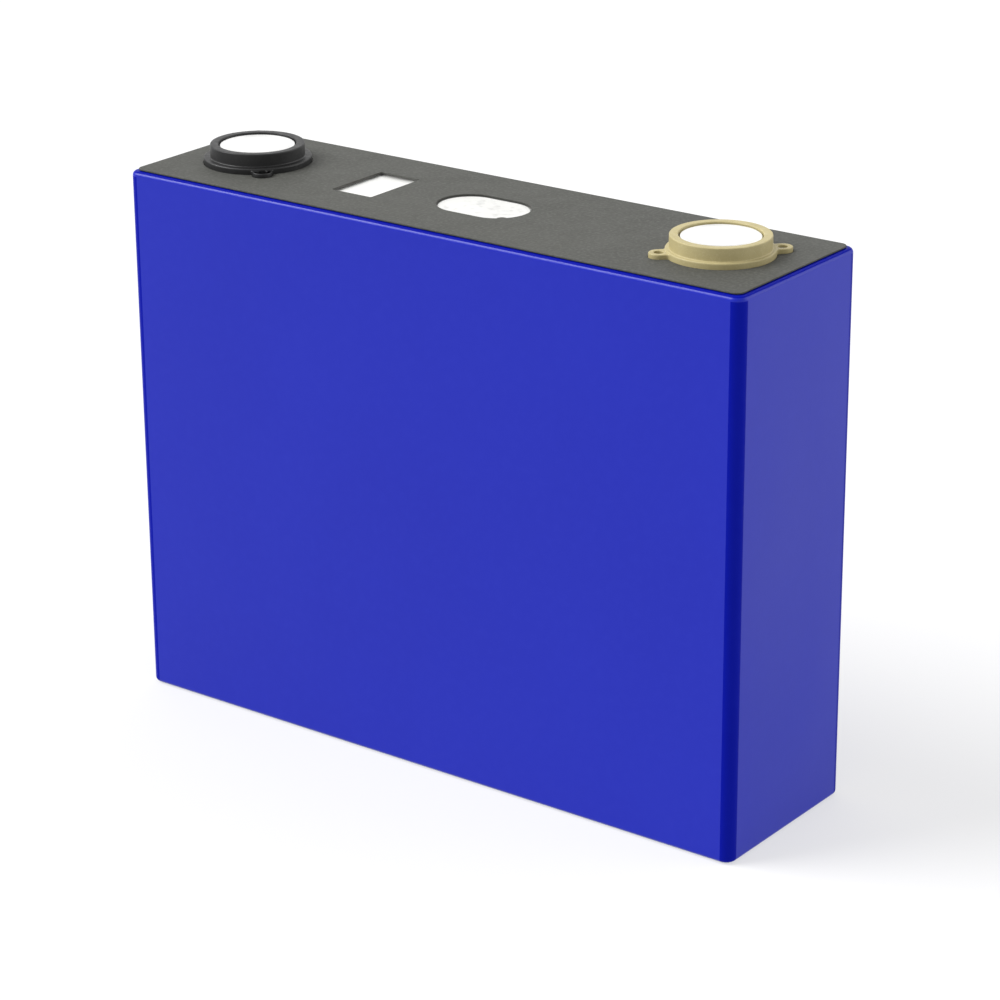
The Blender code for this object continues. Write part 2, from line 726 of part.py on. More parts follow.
def make_liner(looks):
    """The insulating pouch that lines the can, open at its top."""
    top = INSULATOR_BOTTOM - GAP
    floor = FLOOR + GAP
    outer = body_outline(LINER_INSET + FILM)
    sections = (
        (outer, floor),
        (body_outline(LINER_INSET), floor + FILM),
        (body_outline(LINER_INSET), top),
        (body_outline(LINER_INSET + LINER_WALL), top),
        (body_outline(LINER_INSET + LINER_WALL), floor + LINER_WALL),
    )
    lofted("insulating_pouch", sections, looks["pouch"])


def make_bottom_pad(looks):
    """A perforated plate that carries the rolls off the base."""
    outline = rounded_rectangle(INNER_LENGTH, INNER_WIDTH, MOULDED_CORNER)
    top = PAD_SHEET_BOTTOM + PAD_SHEET
    made = plate("bottom_pad", outline, PAD_SHEET_BOTTOM, top, looks["lower_plastic"])
    low = PAD_SHEET_BOTTOM - PAD_SHEET
    for column in range(DRAIN_COLUMNS):
        x = DRAIN_PITCH * (column - (DRAIN_COLUMNS - 1) / 2)
        for row in (-1, 1):
            hole = circle(DRAIN_HOLE_RADIUS, x, row * DRAIN_Y, HOLE_STEPS // 2)
            name = f"drain_{column}_{'front' if row < 0 else 'back'}"
            cut(made, name, hole, low, top + PAD_SHEET, looks["lower_plastic"])


def terminals():
    return (("positive", -TERMINAL_X), ("negative", TERMINAL_X))


def make_looks():
    """Every material, by the name of what it is."""
    return {
        "blue_film": material("blue_film", (0.035, 0.043, 0.50), 0.32),
        "clear_film": material("clear_film", (0.55, 0.58, 0.62), 0.25),
        "frosted_film": material("frosted_film", (0.80, 0.81, 0.79), 0.45),
        "grey_sheet": material("grey_sheet", (0.15, 0.15, 0.13), 0.75),
        "adhesive": material("adhesive", (0.11, 0.11, 0.105), 0.7),
        "aluminium": material("aluminium", (0.80, 0.80, 0.79), 0.35, 0.9),
        "vent_foil": material("vent_foil", (0.83, 0.83, 0.82), 0.25, 0.9),
        "terminal_face": material("terminal_face", (0.88, 0.88, 0.87), 0.3, 0.9),
        "positive_collar": material("positive_collar", (0.020, 0.020, 0.022), 0.5),
        "negative_collar": material("negative_collar", (0.60, 0.52, 0.36), 0.5),
        "positive_metal": material("positive_metal", (0.78, 0.78, 0.77), 0.35, 0.9),
        "negative_metal": material("negative_metal", (0.80, 0.40, 0.24), 0.3, 0.9),
        "positive_foil": material("positive_foil", (0.74, 0.74, 0.74), 0.4, 0.9),
        "negative_foil": material("negative_foil", (0.76, 0.36, 0.20), 0.4, 0.9),
        "seal": material("seal", (0.05, 0.05, 0.05), 0.6),
        "rubber": material("rubber", (0.03, 0.03, 0.03), 0.8),
        "lower_plastic": material("lower_plastic", (0.72, 0.73, 0.72), 0.5),
        "separator": material("separator", (0.82, 0.82, 0.80), 0.7),
        "cathode": material("cathode", (0.025, 0.026, 0.028), 0.8),
        "anode": material("anode", (0.06, 0.06, 0.065), 0.7),
        "tape": material("tape", (0.05, 0.25, 0.45), 0.4),
        "pouch": material("pouch", (0.45, 0.47, 0.48), 0.35),
    }


def main():
    clear_scene()
    looks = make_looks()
    make_bottom_film(looks)
    make_wrap_film(looks)
    make_top_sheet(looks)
    make_sheet_adhesive(looks)
    make_can(looks)
    make_cover_plate(looks)
    make_vent(looks)
    make_vent_guard(looks)
    make_fill_port(looks)
    for polarity, x in terminals():
        make_terminal_pad(polarity, x, looks)
        make_upper_insulator(polarity, x, looks)
        make_terminal_post(polarity, x, looks)
        make_seal_ring(polarity, x, looks)
        make_lower_insulator(polarity, x, looks)
        make_current_collector(polarity, x, looks)
        make_weld_tape(polarity, x, looks)
        for front in (True, False):
            make_tab_stack(polarity, x, front, looks)
    for place in ("front", "back"):
        make_roll(place, looks)
    make_liner(looks)
    make_bottom_pad(looks)


main()
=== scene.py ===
"""The looks of the wrapped battery cell: fine outer pieces and procedural materials round the CAD frame.

Metres, +Z up, in the CAD's own frame. Sizes come from the frame's boxes, with a few named ones.
"""

import json
import math

import bmesh
import bpy
from mathutils import Matrix, Vector

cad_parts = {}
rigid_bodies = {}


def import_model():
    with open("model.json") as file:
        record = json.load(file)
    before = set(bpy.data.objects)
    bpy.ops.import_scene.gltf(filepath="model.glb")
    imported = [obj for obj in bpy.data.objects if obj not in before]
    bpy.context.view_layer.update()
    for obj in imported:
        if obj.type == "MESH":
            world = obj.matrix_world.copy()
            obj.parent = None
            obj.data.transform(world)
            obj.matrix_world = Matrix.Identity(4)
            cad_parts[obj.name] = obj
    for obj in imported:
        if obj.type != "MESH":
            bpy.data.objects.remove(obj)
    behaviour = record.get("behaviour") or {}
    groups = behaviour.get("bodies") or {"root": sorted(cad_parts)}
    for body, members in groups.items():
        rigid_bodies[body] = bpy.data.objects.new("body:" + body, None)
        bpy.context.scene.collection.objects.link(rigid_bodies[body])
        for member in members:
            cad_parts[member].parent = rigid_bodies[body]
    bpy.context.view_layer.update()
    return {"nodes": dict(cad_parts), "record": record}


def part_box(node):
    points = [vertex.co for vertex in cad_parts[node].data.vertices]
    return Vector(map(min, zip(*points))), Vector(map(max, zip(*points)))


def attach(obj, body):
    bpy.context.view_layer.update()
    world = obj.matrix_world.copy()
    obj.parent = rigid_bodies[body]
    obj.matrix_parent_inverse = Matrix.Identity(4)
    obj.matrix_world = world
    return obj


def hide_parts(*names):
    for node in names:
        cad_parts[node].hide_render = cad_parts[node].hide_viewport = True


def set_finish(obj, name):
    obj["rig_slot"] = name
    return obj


# Wrap film
CORNER_RADIUS = 0.0027
SHOULDER_RADIUS = 0.0011
FOOT_RADIUS = 0.0010
FILM = 0.00015
GLUE = 0.00015
TOP_HEM = 0.0040
BOTTOM_HEM = 0.0080
CORNER_STEPS = 14
ROUND_STEPS = 8
LAP_START = -0.0090
LAP_END = 0.0065
LAP_STEP = 0.0001
LAP_RISE = 0.002
LAP_RUN = 0.006
# The wrap's material slots: the plain film, and a darker, duller copy that is painted shade on its
# upright corners and on its shoulder above the angle given next.
FLAT = 0
PAINTED_SHADE = 1
PAINTED_SHADE_FROM = math.radians(48)

# Top sheet and its windows
SHEET_CORNER = 0.0020
SHEET_EDGE = 0.00008
SHEET_GAP = 0.0001
VENT_X = 0.0016
VENT_WINDOW = (0.0234, 0.0154)
VENT_BUMP_ANGLE = -47.0
VENT_BUMP_RADIUS = 0.0014
VENT_BUMP_DEPTH = 0.0008
CODE_X = -0.0298
CODE_WINDOW = (0.0116, 0.0184)
CODE_CORNER = 0.0004
BOND_GAP = 0.00025
BOND_SQUEEZE = 0.00012
BOND_EDGE = 0.00010

# Collars
COLLAR_RADIUS = 0.0113
COLLAR_LIP = 0.0093
COLLAR_POCKET = 0.0103
COLLAR_BORE = 0.0044
COLLAR_FLOOR = 0.0015
COLLAR_POCKET_HEIGHT = 0.0018
FLANGE_TOP = 0.1344
EAR_TOP = 0.1340
EAR_REACH = 0.0160
EAR_HALF_WIDTH = 0.0023
EAR_HOLE = 0.0011
EAR_FILLET = 0.0007
EAR_ARC_STEPS = 8
EAR_ANGLE = {"positive": -45.0, "negative": 45.0}
MOULDED_EDGE = 0.00018
FLANGE_EDGE = 0.00038
RIM_EDGE = 0.00028
COVE = 0.0003

# Terminal pads
PAD_RADIUS = 0.0090
PAD_STEP = 0.0012
PAD_SKIN = 0.0009
PAD_BEVEL = 0.00025
PAD_BORE = 0.0044
PAD_CENTRE = 0.0001
PAD_DIMPLE = 0.00003
PAD_GROOVE = 0.00006
TURNED_STEPS = 128
DISC_STEPS = 60
FILLET_STEPS = 5
TIP_STEPS = 20

SHARP_ANGLE = math.radians(38)
LEAST_MITRE = 0.3


# Outlines: lists of (x, y) points, anticlockwise


def arc(centre, radius, start, end, steps):
    """Points on an arc, angles in degrees, both ends included."""
    points = []
    for i in range(steps + 1):
        angle = math.radians(start + (end - start) * i / steps)
        points.append((centre[0] + radius * math.cos(angle), centre[1] + radius * math.sin(angle)))
    return points


def circle(radius, x=0.0, y=0.0, steps=TURNED_STEPS):
    return arc((x, y), radius, 0, 360, steps)[:-1]


def rounded_rectangle(low, high, radius, steps=CORNER_STEPS):
    corners = (
        (high.x - radius, high.y - radius),
        (low.x + radius, high.y - radius),
        (low.x + radius, low.y + radius),
        (high.x - radius, low.y + radius),
    )
    points = []
    for turn, corner in enumerate(corners):
        points += arc(corner, radius, 90 * turn, 90 * turn + 90, steps)
    return points


def drawn_in(outline, distances):
    """Each point moved to its left by its distance, which is inwards on an anticlockwise outline."""
    moved = []
    count = len(outline)
    for i, (point, distance) in enumerate(zip(outline, distances)):
        here = Vector(point)
        before = (here - Vector(outline[i - 1])).normalized()
        after = (Vector(outline[(i + 1) % count]) - here).normalized()
        side = Vector((-before.y - after.y, before.x + after.x)).normalized()
        reach = distance / max(side.dot(Vector((-before.y, before.x))), LEAST_MITRE)
        moved.append(tuple(here + side * reach))
    return moved


# Meshes


def piece(name, bm, replaced, slot, x=0.0):
    """Makes a shown piece from a bmesh, standing for a CAD node, with its origin at x."""
    bmesh.ops.recalc_face_normals(bm, faces=bm.faces)
    mesh = bpy.data.meshes.new(name)
    bm.to_mesh(mesh)
    bm.free()
    mesh.shade_smooth()
    mesh.set_sharp_from_angle(angle=SHARP_ANGLE)
    made = bpy.data.objects.new(name, mesh)
    made.location.x = x
    bpy.context.scene.collection.objects.link(made)
    weighted = made.modifiers.new("even_normals", "WEIGHTED_NORMAL")
    weighted.keep_sharp = True
    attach(made, "root")
    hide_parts(replaced)
    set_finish(made, slot)
    return made


def ring_of(bm, outline, z):
    return [bm.verts.new((x, y, z)) for x, y in outline]


def skin(bm, first, second):
    for i in range(len(first)):
        bm.faces.new((first[i - 1], first[i], second[i], second[i - 1]))


def fill(bm, loops):
    """Fills the flat space between closed loops of vertices."""
    edges = []
    for loop in loops:
        for i in range(len(loop)):
            pair = (loop[i - 1], loop[i])
            edges.append(bm.edges.get(pair) or bm.edges.new(pair))
    bmesh.ops.triangle_fill(bm, edges=edges, use_beauty=True, use_dissolve=False)


def wall(bm, outline, bottom, top, edge, shares=None, steps=3):
    """An upright wall with rounded edges; returns its lowest and highest loops.

    shares, from 0 to 1 for each point, says how far the top edge is rounded there.
    """
    everywhere = [1.0] * len(outline)
    sections = []
    for angle in range(steps + 1):
        turn = math.radians(90 * angle / steps)
        inset = edge * (1 - math.sin(turn))
        sections.append((inset, edge * (1 - math.cos(turn))))
    rows = [(inset, bottom + rise, everywhere) for inset, rise in sections]
    rows += [(inset, top - rise, shares or everywhere) for inset, rise in reversed(sections)]
    loops = []
    for inset, z, weights in rows:
        outline_here = drawn_in(outline, [inset * weight for weight in weights])
        loops.append(ring_of(bm, outline_here, z))
    for first, second in zip(loops, loops[1:]):
        skin(bm, first, second)
    return loops[0], loops[-1]


def slab(outline, holes, bottom, top, edge):
    """A flat plate with rounded edges, holes included."""
    bm = bmesh.new()
    walls = [wall(bm, outline, bottom, top, edge)]
    for hole in holes:
        walls.append(wall(bm, list(reversed(hole)), bottom, top, edge))
    fill(bm, [low for low, _ in walls])
    fill(bm, [high for _, high in walls])
    return bm


def rounded_profile(profile, steps=4):
    """Rounds a profile's corners: each point is (radius, z, fillet)."""
    points = []
    for i, (radius, z, fillet) in enumerate(profile):
        here = Vector((radius, z))
        if fillet == 0.0:
            points.append(tuple(here))
            continue
        before = (Vector(profile[i - 1][:2]) - here).normalized()
        after = (Vector(profile[i + 1][:2]) - here).normalized()
        for k in range(steps + 1):
            share = k / steps
            first = here + before * fillet * (1 - share)
            second = here + after * fillet * share
            points.append(tuple(first.lerp(second, share)))
    return points


def turned_on(bm, ring, profile):
    """Carries a round loop of vertices along a profile of (radius, z); returns the last loop."""
    for radius, z in profile:
        outline = [tuple(vert.co.xy.normalized() * radius) for vert in ring]
        following = ring_of(bm, outline, z)
        skin(bm, ring, following)
        ring = following
    return ring


# The cell's outer pieces


def lap(point):
    """Left end: the film's free end lies over its start; elsewhere that face sits a step lower."""
    x, y = point
    low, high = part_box("wrap_film")
    if x > low.x + FILM / 2 or abs(y) > high.y - CORNER_RADIUS:
        return point
    if LAP_START <= y <= LAP_END:
        return point
    if y > LAP_END:
        reach = (high.y - CORNER_RADIUS - y) / LAP_RISE
    else:
        reach = min((y - low.y - CORNER_RADIUS) / LAP_RISE, (LAP_START - y) / LAP_RUN)
    share = min(max(reach, 0.0), 1.0)
    return (x + LAP_STEP * share * share * (3 - 2 * share), y)


def film_outline(inset, outside):
    """The film's plan, drawn in by inset, with extra points along the left end for the lap."""
    low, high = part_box("wrap_film")
    radius = max(CORNER_RADIUS - inset, GLUE)
    shift = Vector((inset, inset, 0.0))
    points = rounded_rectangle(low + shift, high - shift, radius)
    stops = [high.y - CORNER_RADIUS - 0.0005 * k for k in range(1, 5)]
    stops += [LAP_END + 0.003, LAP_END + GLUE / 2, LAP_END, 0.0, LAP_START]
    stops += [LAP_START - 0.0015 * k for k in range(1, 5)]
    stops += [low.y + CORNER_RADIUS + 0.0005 * k for k in range(4, 0, -1)]
    place = 2 * (CORNER_STEPS + 1)
    points[place:place] = [(low.x + inset, y) for y in stops]
    return [lap(point) for point in points] if outside and inset < FILM / 2 else points


def make_wrap_film():
    """One skin round the can, its shoulder and foot rounded and hemmed; its upright corners and the top
    of its shoulder take a darker, duller copy of the film as painted shade.
    """
    low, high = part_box("wrap_film")
    shoulder = (SHOULDER_RADIUS, high.z - SHOULDER_RADIUS)
    foot = (FOOT_RADIUS, low.z + FOOT_RADIUS)
    outside = [(BOTTOM_HEM, low.z)]
    outside += arc(foot, FOOT_RADIUS, -90, -180, ROUND_STEPS)
    outside += arc(shoulder, SHOULDER_RADIUS, 180, 90, ROUND_STEPS)
    outside.append((TOP_HEM, high.z))
    inside = [(TOP_HEM, high.z - FILM)]
    inside += arc(shoulder, SHOULDER_RADIUS - FILM, 90, 180, ROUND_STEPS)
    inside += arc(foot, FOOT_RADIUS - FILM, -180, -90, ROUND_STEPS)
    inside.append((BOTTOM_HEM, low.z + FILM))
    bm = bmesh.new()
    loops = [ring_of(bm, film_outline(inset, True), z) for inset, z in outside]
    loops += [ring_of(bm, film_outline(inset, False), z) for inset, z in inside]
    for i in range(len(loops)):
        skin(bm, loops[i - 1], loops[i])
    wrap = piece("blue_wrap", bm, "wrap_film", "blue_film")
    across = high.x - CORNER_RADIUS
    deep = high.y - CORNER_RADIUS
    over_rim = shoulder[1] + SHOULDER_RADIUS * math.sin(PAINTED_SHADE_FROM)
    # Painted shade: faces on the four upright corners, and over the top of the shoulder, take the
    # darker, duller film.
    for face in wrap.data.polygons:
        x, y, z = face.center
        in_corner = abs(x) > across and abs(y) > deep and z < shoulder[1]
        face.material_index = PAINTED_SHADE if in_corner or z > over_rim else FLAT


def make_bottom_film():
    low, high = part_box("bottom_film")
    outline = rounded_rectangle(low, high, CORNER_RADIUS - FOOT_RADIUS)
    bm = slab(outline, [], low.z, high.z, FILM / 3)
    piece("base_film", bm, "bottom_film", "clear_film")


def flange_radius(polarity):
    """The collar's box is as wide as its flange: the ears stand on the diagonals."""
    low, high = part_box(f"{polarity}_upper_insulator")
    return (high.x - low.x) / 2


def terminal_x(polarity):
    low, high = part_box(f"{polarity}_terminal_pad")
    return (low.x + high.x) / 2


def eared_plan(radius, polarity, grow=0.0):
    """A flange's plan about its own centre, grown by grow: a disc with two filleted ears.

    Gives (point, share) pairs; share rises from 0 on the disc to 1 on an ear.
    """
    disc = radius + grow
    half = EAR_HALF_WIDTH + grow
    fillet = max(EAR_FILLET - grow, 0.0001)
    reach = EAR_REACH - EAR_HALF_WIDTH
    along = math.sqrt((disc + fillet) ** 2 - (half + fillet) ** 2)
    lean = math.degrees(math.asin((half + fillet) / (disc + fillet)))
    rising = [i / FILLET_STEPS for i in range(FILLET_STEPS + 1)]
    plan = []
    for side in (0, 1):
        turn = Matrix.Rotation(math.radians(EAR_ANGLE[polarity] + 180 * side), 2)
        part = [(point, 0.0) for point in arc((0.0, 0.0), disc, lean - 180, -lean, DISC_STEPS)[:-1]]
        start = arc((along, -half - fillet), fillet, 180 - lean, 90, FILLET_STEPS)
        part += list(zip(start, rising))
        part += [(point, 1.0) for point in arc((reach, 0.0), half, -90, 90, TIP_STEPS)]
        end = arc((along, half + fillet), fillet, -90, lean - 180, FILLET_STEPS)
        part += list(zip(end, reversed(rising)))[:-1]
        plan += [(tuple(turn @ Vector(point)), share) for point, share in part]
    return plan


def vent_window():
    """The vent's cut-out: a slot shape with a small round bump into its right end."""
    radius = VENT_WINDOW[1] / 2
    reach = (VENT_WINDOW[0] - VENT_WINDOW[1]) / 2
    centre = (VENT_X + reach, 0.0)
    bump = VENT_BUMP_RADIUS
    away = radius + bump - VENT_BUMP_DEPTH
    near = math.degrees(math.acos((radius**2 + away**2 - bump**2) / (2 * radius * away)))
    round_it = math.degrees(math.acos((bump**2 + away**2 - radius**2) / (2 * bump * away)))
    ray = math.radians(VENT_BUMP_ANGLE)
    middle = (centre[0] + away * math.cos(ray), away * math.sin(ray))
    back = VENT_BUMP_ANGLE + 180
    outline = arc(centre, radius, -90, VENT_BUMP_ANGLE - near, 12)
    outline += arc(middle, bump, back + round_it, back - round_it, 10)[1:-1]
    outline += arc(centre, radius, VENT_BUMP_ANGLE + near, 90, 36)
    outline += arc((VENT_X - reach, 0.0), radius, 90, 270, 40)
    return outline


def code_window(grow=0.0):
    half = Vector((CODE_WINDOW[0] / 2 + grow, CODE_WINDOW[1] / 2 + grow))
    middle = Vector((CODE_X, 0.0))
    return rounded_rectangle(middle - half, middle + half, CODE_CORNER, 4)


def make_top_sheet():
    """The grey insulating sheet with its cut-outs, edges lightly rounded by the die."""
    low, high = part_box("top_sheet")
    outline = rounded_rectangle(low, high, SHEET_CORNER)
    holes = [vent_window(), code_window()]
    for polarity in ("positive", "negative"):
        x = terminal_x(polarity)
        hole = eared_plan(flange_radius(polarity), polarity, SHEET_GAP)
        holes.append([(x + px, py) for (px, py), _ in hole])
    bm = slab(outline, holes, low.z, high.z, SHEET_EDGE)
    piece("insulating_sheet", bm, "top_sheet", "grey_sheet")


def make_adhesive():
    """The bonding layer under the sheet, squeezed out to its full thickness."""
    low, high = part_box("sheet_adhesive")
    outline = rounded_rectangle(low, high, SHEET_CORNER)
    reach = (VENT_WINDOW[0] - VENT_WINDOW[1]) / 2
    radius = VENT_WINDOW[1] / 2 + BOND_GAP
    vent = arc((VENT_X + reach, 0.0), radius, -90, 90, 32)
    vent += arc((VENT_X - reach, 0.0), radius, 90, 270, 32)
    holes = [vent, code_window(BOND_GAP)]
    for polarity in ("positive", "negative"):
        x = terminal_x(polarity)
        hole = eared_plan(flange_radius(polarity), polarity, SHEET_GAP + BOND_GAP)
        holes.append([(x + px, py) for (px, py), _ in hole])
    bottom = low.z - BOND_SQUEEZE
    top = high.z + BOND_SQUEEZE
    bm = slab(outline, holes, bottom, top, BOND_EDGE)
    piece("bonding_layer", bm, "sheet_adhesive", "adhesive")


def make_collar(polarity, slot):
    """The moulded collar: an eared flange, a raised ring and the pocket that grips the pad."""
    low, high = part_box(f"{polarity}_upper_insulator")
    radius = flange_radius(polarity)
    bm = bmesh.new()
    plan = eared_plan(radius, polarity)
    outline = [point for point, _ in plan]
    shares = [share for _, share in plan]
    under, over = wall(bm, outline, low.z, EAR_TOP, MOULDED_EDGE, shares)
    holes = []
    ring = []
    ears = []
    side_length = len(plan) // 2
    lean = math.degrees(over[DISC_STEPS].co.xy.angle_signed(over[side_length].co.xy)) / -2
    for side in (0, 1):
        first = side * side_length
        angle = EAR_ANGLE[polarity] + 180 * side
        reach = EAR_REACH - EAR_HALF_WIDTH
        ray = math.radians(angle)
        centre = (reach * math.cos(ray), reach * math.sin(ray))
        hole = list(reversed(circle(EAR_HOLE, *centre, steps=32)))
        holes.append(wall(bm, hole, low.z, EAR_TOP, MOULDED_EDGE))
        across = arc((0.0, 0.0), radius, angle - lean, angle + lean, EAR_ARC_STEPS)[1:-1]
        across = ring_of(bm, across, EAR_TOP)
        last = (first + side_length) % len(over)
        ring += over[first : first + DISC_STEPS + 1] + across
        ears.append(over[first + DISC_STEPS : first + side_length] + [over[last]] + across[::-1])
    floor = low.z + COLLAR_FLOOR
    lip_bottom = floor + COLLAR_POCKET_HEIGHT
    profile = (
        (radius, EAR_TOP, 0.0),
        (radius, FLANGE_TOP, FLANGE_EDGE),
        (COLLAR_RADIUS + COVE / 9, FLANGE_TOP, COVE),
        (COLLAR_RADIUS, high.z, RIM_EDGE),
        (COLLAR_LIP, high.z, RIM_EDGE),
        (COLLAR_LIP, lip_bottom, 0.0),
        (COLLAR_POCKET, lip_bottom, 0.0),
        (COLLAR_POCKET, floor, 0.0),
        (COLLAR_BORE, floor, 0.0),
        (COLLAR_BORE, low.z, 0.0),
    )
    bore = turned_on(bm, ring, rounded_profile(profile)[1:])
    for ear, (_, hole_high) in zip(ears, holes):
        fill(bm, [ear, hole_high])
    fill(bm, [under, bore] + [hole_low for hole_low, _ in holes])
    piece(f"{polarity}_collar", bm, f"{polarity}_upper_insulator", slot, terminal_x(polarity))


def make_pad(polarity):
    """The welding face: a turned disc with a bevelled edge, a fine groove and a blind bore."""
    low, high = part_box(f"{polarity}_terminal_pad")
    base = (high.x - low.x) / 2
    step = low.z + PAD_STEP
    profile = (
        (PAD_CENTRE, high.z - PAD_DIMPLE, 0.0),
        (0.0004, high.z - PAD_DIMPLE, 0.0),
        (0.0006, high.z, 0.0),
        (PAD_RADIUS - 0.0013, high.z, 0.0),
        (PAD_RADIUS - 0.00122, high.z - PAD_GROOVE, 0.0),
        (PAD_RADIUS - 0.00108, high.z - PAD_GROOVE, 0.0),
        (PAD_RADIUS - 0.001, high.z, 0.0),
        (PAD_RADIUS, high.z, PAD_BEVEL),
        (PAD_RADIUS, step, 0.0),
        (base, step, PAD_BEVEL / 2),
        (base, low.z, 0.0),
        (PAD_BORE, low.z, 0.0),
        (PAD_BORE, high.z - PAD_SKIN, 0.0),
        (PAD_CENTRE, high.z - PAD_SKIN, 0.0),
    )
    bm = bmesh.new()
    points = rounded_profile(profile)
    start = ring_of(bm, circle(points[0][0]), points[0][1])
    end = turned_on(bm, start, points[1:])
    bm.faces.new(start)
    bm.faces.new(end)
    name = f"{polarity}_terminal_pad"
    piece(f"{polarity}_terminal", bm, name, "terminal_face", terminal_x(polarity))


def make_vent_film():
    """A thin film over the vent that takes on a little of the vent's relief."""
    low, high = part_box("vent_cover_film")
    width = (high.y - low.y) / 2
    reach = (high.x - low.x) / 2 - width
    centre = (high.x + low.x) / 2

    def oval(inset):
        right = arc((centre + reach, 0.0), width - inset, -90, 90, 32)
        return right + arc((centre - reach, 0.0), width - inset, 90, 270, 32)

    relief = (
        (0.0, -FILM),
        (0.0, -FILM / 3),
        (FILM / 3, 0.0),
        (0.00105, 0.0),
        (0.00130, -0.00004),
        (0.00160, -0.00006),
        (0.00200, -0.00006),
        (0.00240, -0.00003),
        (0.00350, -0.00002),
        (0.00375, -0.00006),
        (0.00400, -0.00006),
        (0.00425, -0.00002),
        (0.00550, 0.0),
    )
    bm = bmesh.new()
    loops = [ring_of(bm, oval(inset), high.z + lift) for inset, lift in relief]
    for first, second in zip(loops, loops[1:]):
        skin(bm, first, second)
    bm.faces.new(loops[0])
    bm.faces.new(loops[-1])
    piece("vent_film", bm, "vent_cover_film", "frosted_film")


# Materials


class Look:
    """A procedural material in the making: object coordinates in metres, one Principled shader."""

    def __init__(self, name, metallic=0.0, specular=0.5, **sockets):
        self.material = bpy.data.materials.new(f"{name}_look")
        self.material.use_nodes = True
        self.tree = self.material.node_tree
        self.shader = self.tree.nodes["Principled BSDF"]
        self.shader.inputs["Metallic"].default_value = metallic
        self.shader.inputs["Specular IOR Level"].default_value = specular
        for socket, value in sockets.items():
            self.shader.inputs[socket.replace("_", " ")].default_value = value
        self.coordinates = self.add("ShaderNodeTexCoord").outputs["Object"]
        self.normal = None

    def add(self, kind, **links):
        made = self.tree.nodes.new(kind)
        for name, value in links.items():
            self.join(value, made.inputs[name.replace("_", " ")])
        return made

    def join(self, value, socket):
        if isinstance(value, bpy.types.NodeSocket):
            self.tree.links.new(value, socket)
        else:
            socket.default_value = value

    def place(self, stretch=(1.0, 1.0, 1.0), turn=(0.0, 0.0, 0.0)):
        moved = self.add("ShaderNodeMapping", Vector=self.coordinates)
        moved.inputs["Scale"].default_value = stretch
        moved.inputs["Rotation"].default_value = turn
        return moved.outputs["Vector"]

    def noise(self, scale, stretch=(1.0, 1.0, 1.0), detail=2.0, turn=(0.0, 0.0, 0.0)):
        """Soft random variation, about 1 / scale metres across."""
        where = self.place(stretch, turn)
        made = self.add("ShaderNodeTexNoise", Vector=where, Scale=scale, Detail=detail)
        return made.outputs["Fac"]

    def cells(self, scale):
        """Small random grains."""
        made = self.add("ShaderNodeTexVoronoi", Vector=self.place(), Scale=scale)
        return made.outputs["Distance"]

    def bands(self, pitch, direction, distortion, kind="BANDS"):
        """Even stripes, or rings round the object's own upright axis, one every pitch metres."""
        made = self.add("ShaderNodeTexWave", Vector=self.coordinates)
        made.wave_type = kind
        if kind == "BANDS":
            made.bands_direction = direction
        else:
            made.rings_direction = direction
        made.inputs["Scale"].default_value = math.tau / pitch / 20
        made.inputs["Distortion"].default_value = distortion
        made.inputs["Detail Scale"].default_value = 2.0
        return made.outputs["Fac"]

    def edges(self, radius):
        """1 on the piece's outer edges and 0 on its faces, fading over about radius."""
        rounded = self.add("ShaderNodeBevel")
        rounded.samples = 6
        rounded.inputs["Radius"].default_value = radius
        true = self.add("ShaderNodeNewGeometry")
        match = self.add("ShaderNodeVectorMath")
        match.operation = "DOT_PRODUCT"
        self.join(rounded.outputs["Normal"], match.inputs[0])
        self.join(true.outputs["Normal"], match.inputs[1])
        return self.spread(match.outputs["Value"], 0.0, 1.0, 0.995, 0.90)

    def spread(self, value, low, high, start=0.0, end=1.0):
        """Maps value from start..end to low..high."""
        made = self.add("ShaderNodeMapRange", Value=value)
        made.inputs["From Min"].default_value = start
        made.inputs["From Max"].default_value = end
        made.inputs["To Min"].default_value = low
        made.inputs["To Max"].default_value = high
        return made.outputs["Result"]

    def mix(self, share, first, second):
        made = self.add("ShaderNodeMix")
        made.data_type = "RGBA"
        self.join(share, made.inputs["Factor"])
        for socket, colour in (("A", first), ("B", second)):
            target = [i for i in made.inputs if i.name == socket and i.type == "RGBA"][0]
            self.join((*colour, 1.0) if isinstance(colour, tuple) else colour, target)
        return [o for o in made.outputs if o.type == "RGBA"][0]

    def colour(self, value):
        self.join(value, self.shader.inputs["Base Color"])
        return self

    def roughness(self, value):
        self.join(value, self.shader.inputs["Roughness"])
        return self

    def bump(self, height, depth):
        """Adds relief of that depth in metres on top of what is there."""
        made = self.add("ShaderNodeBump", Height=height)
        made.inputs["Distance"].default_value = depth
        made.inputs["Strength"].default_value = 1.0
        if self.normal is not None:
            self.join(self.normal, made.inputs["Normal"])
        self.normal = made.outputs["Normal"]
        self.join(self.normal, self.shader.inputs["Normal"])
        return self


def tight(look, value, width):
    """Sharpens a noise into patches round its middle value, 0.5."""
    return look.spread(value, 0.0, 1.0, 0.5 - width / 2, 0.5 + width / 2)


def blue_film(name, deep, pale, cloudy, specular):
    """Tinted PET film: satin, slightly wavy, faintly cloudy."""
    look = Look(name, specular=specular)
    tint = look.mix(tight(look, look.noise(20.0, detail=4.0), 0.6), deep, pale)
    clouds = look.spread(look.noise(420.0, detail=4.0), 0.0, 0.35, 0.45, 0.80)
    look.colour(look.mix(clouds, tint, cloudy))
    sheen = look.noise(60.0, stretch=(1.0, 1.0, 0.4), detail=9.0)
    look.roughness(look.spread(sheen, 0.29, 0.37, 0.2, 0.8))
    look.bump(look.noise(26.0, detail=1.0), 0.00025)
    look.bump(look.noise(160.0, stretch=(1.0, 1.0, 0.15)), 0.00001)
    look.bump(look.noise(1500.0, detail=1.0), 0.000006)
    return look


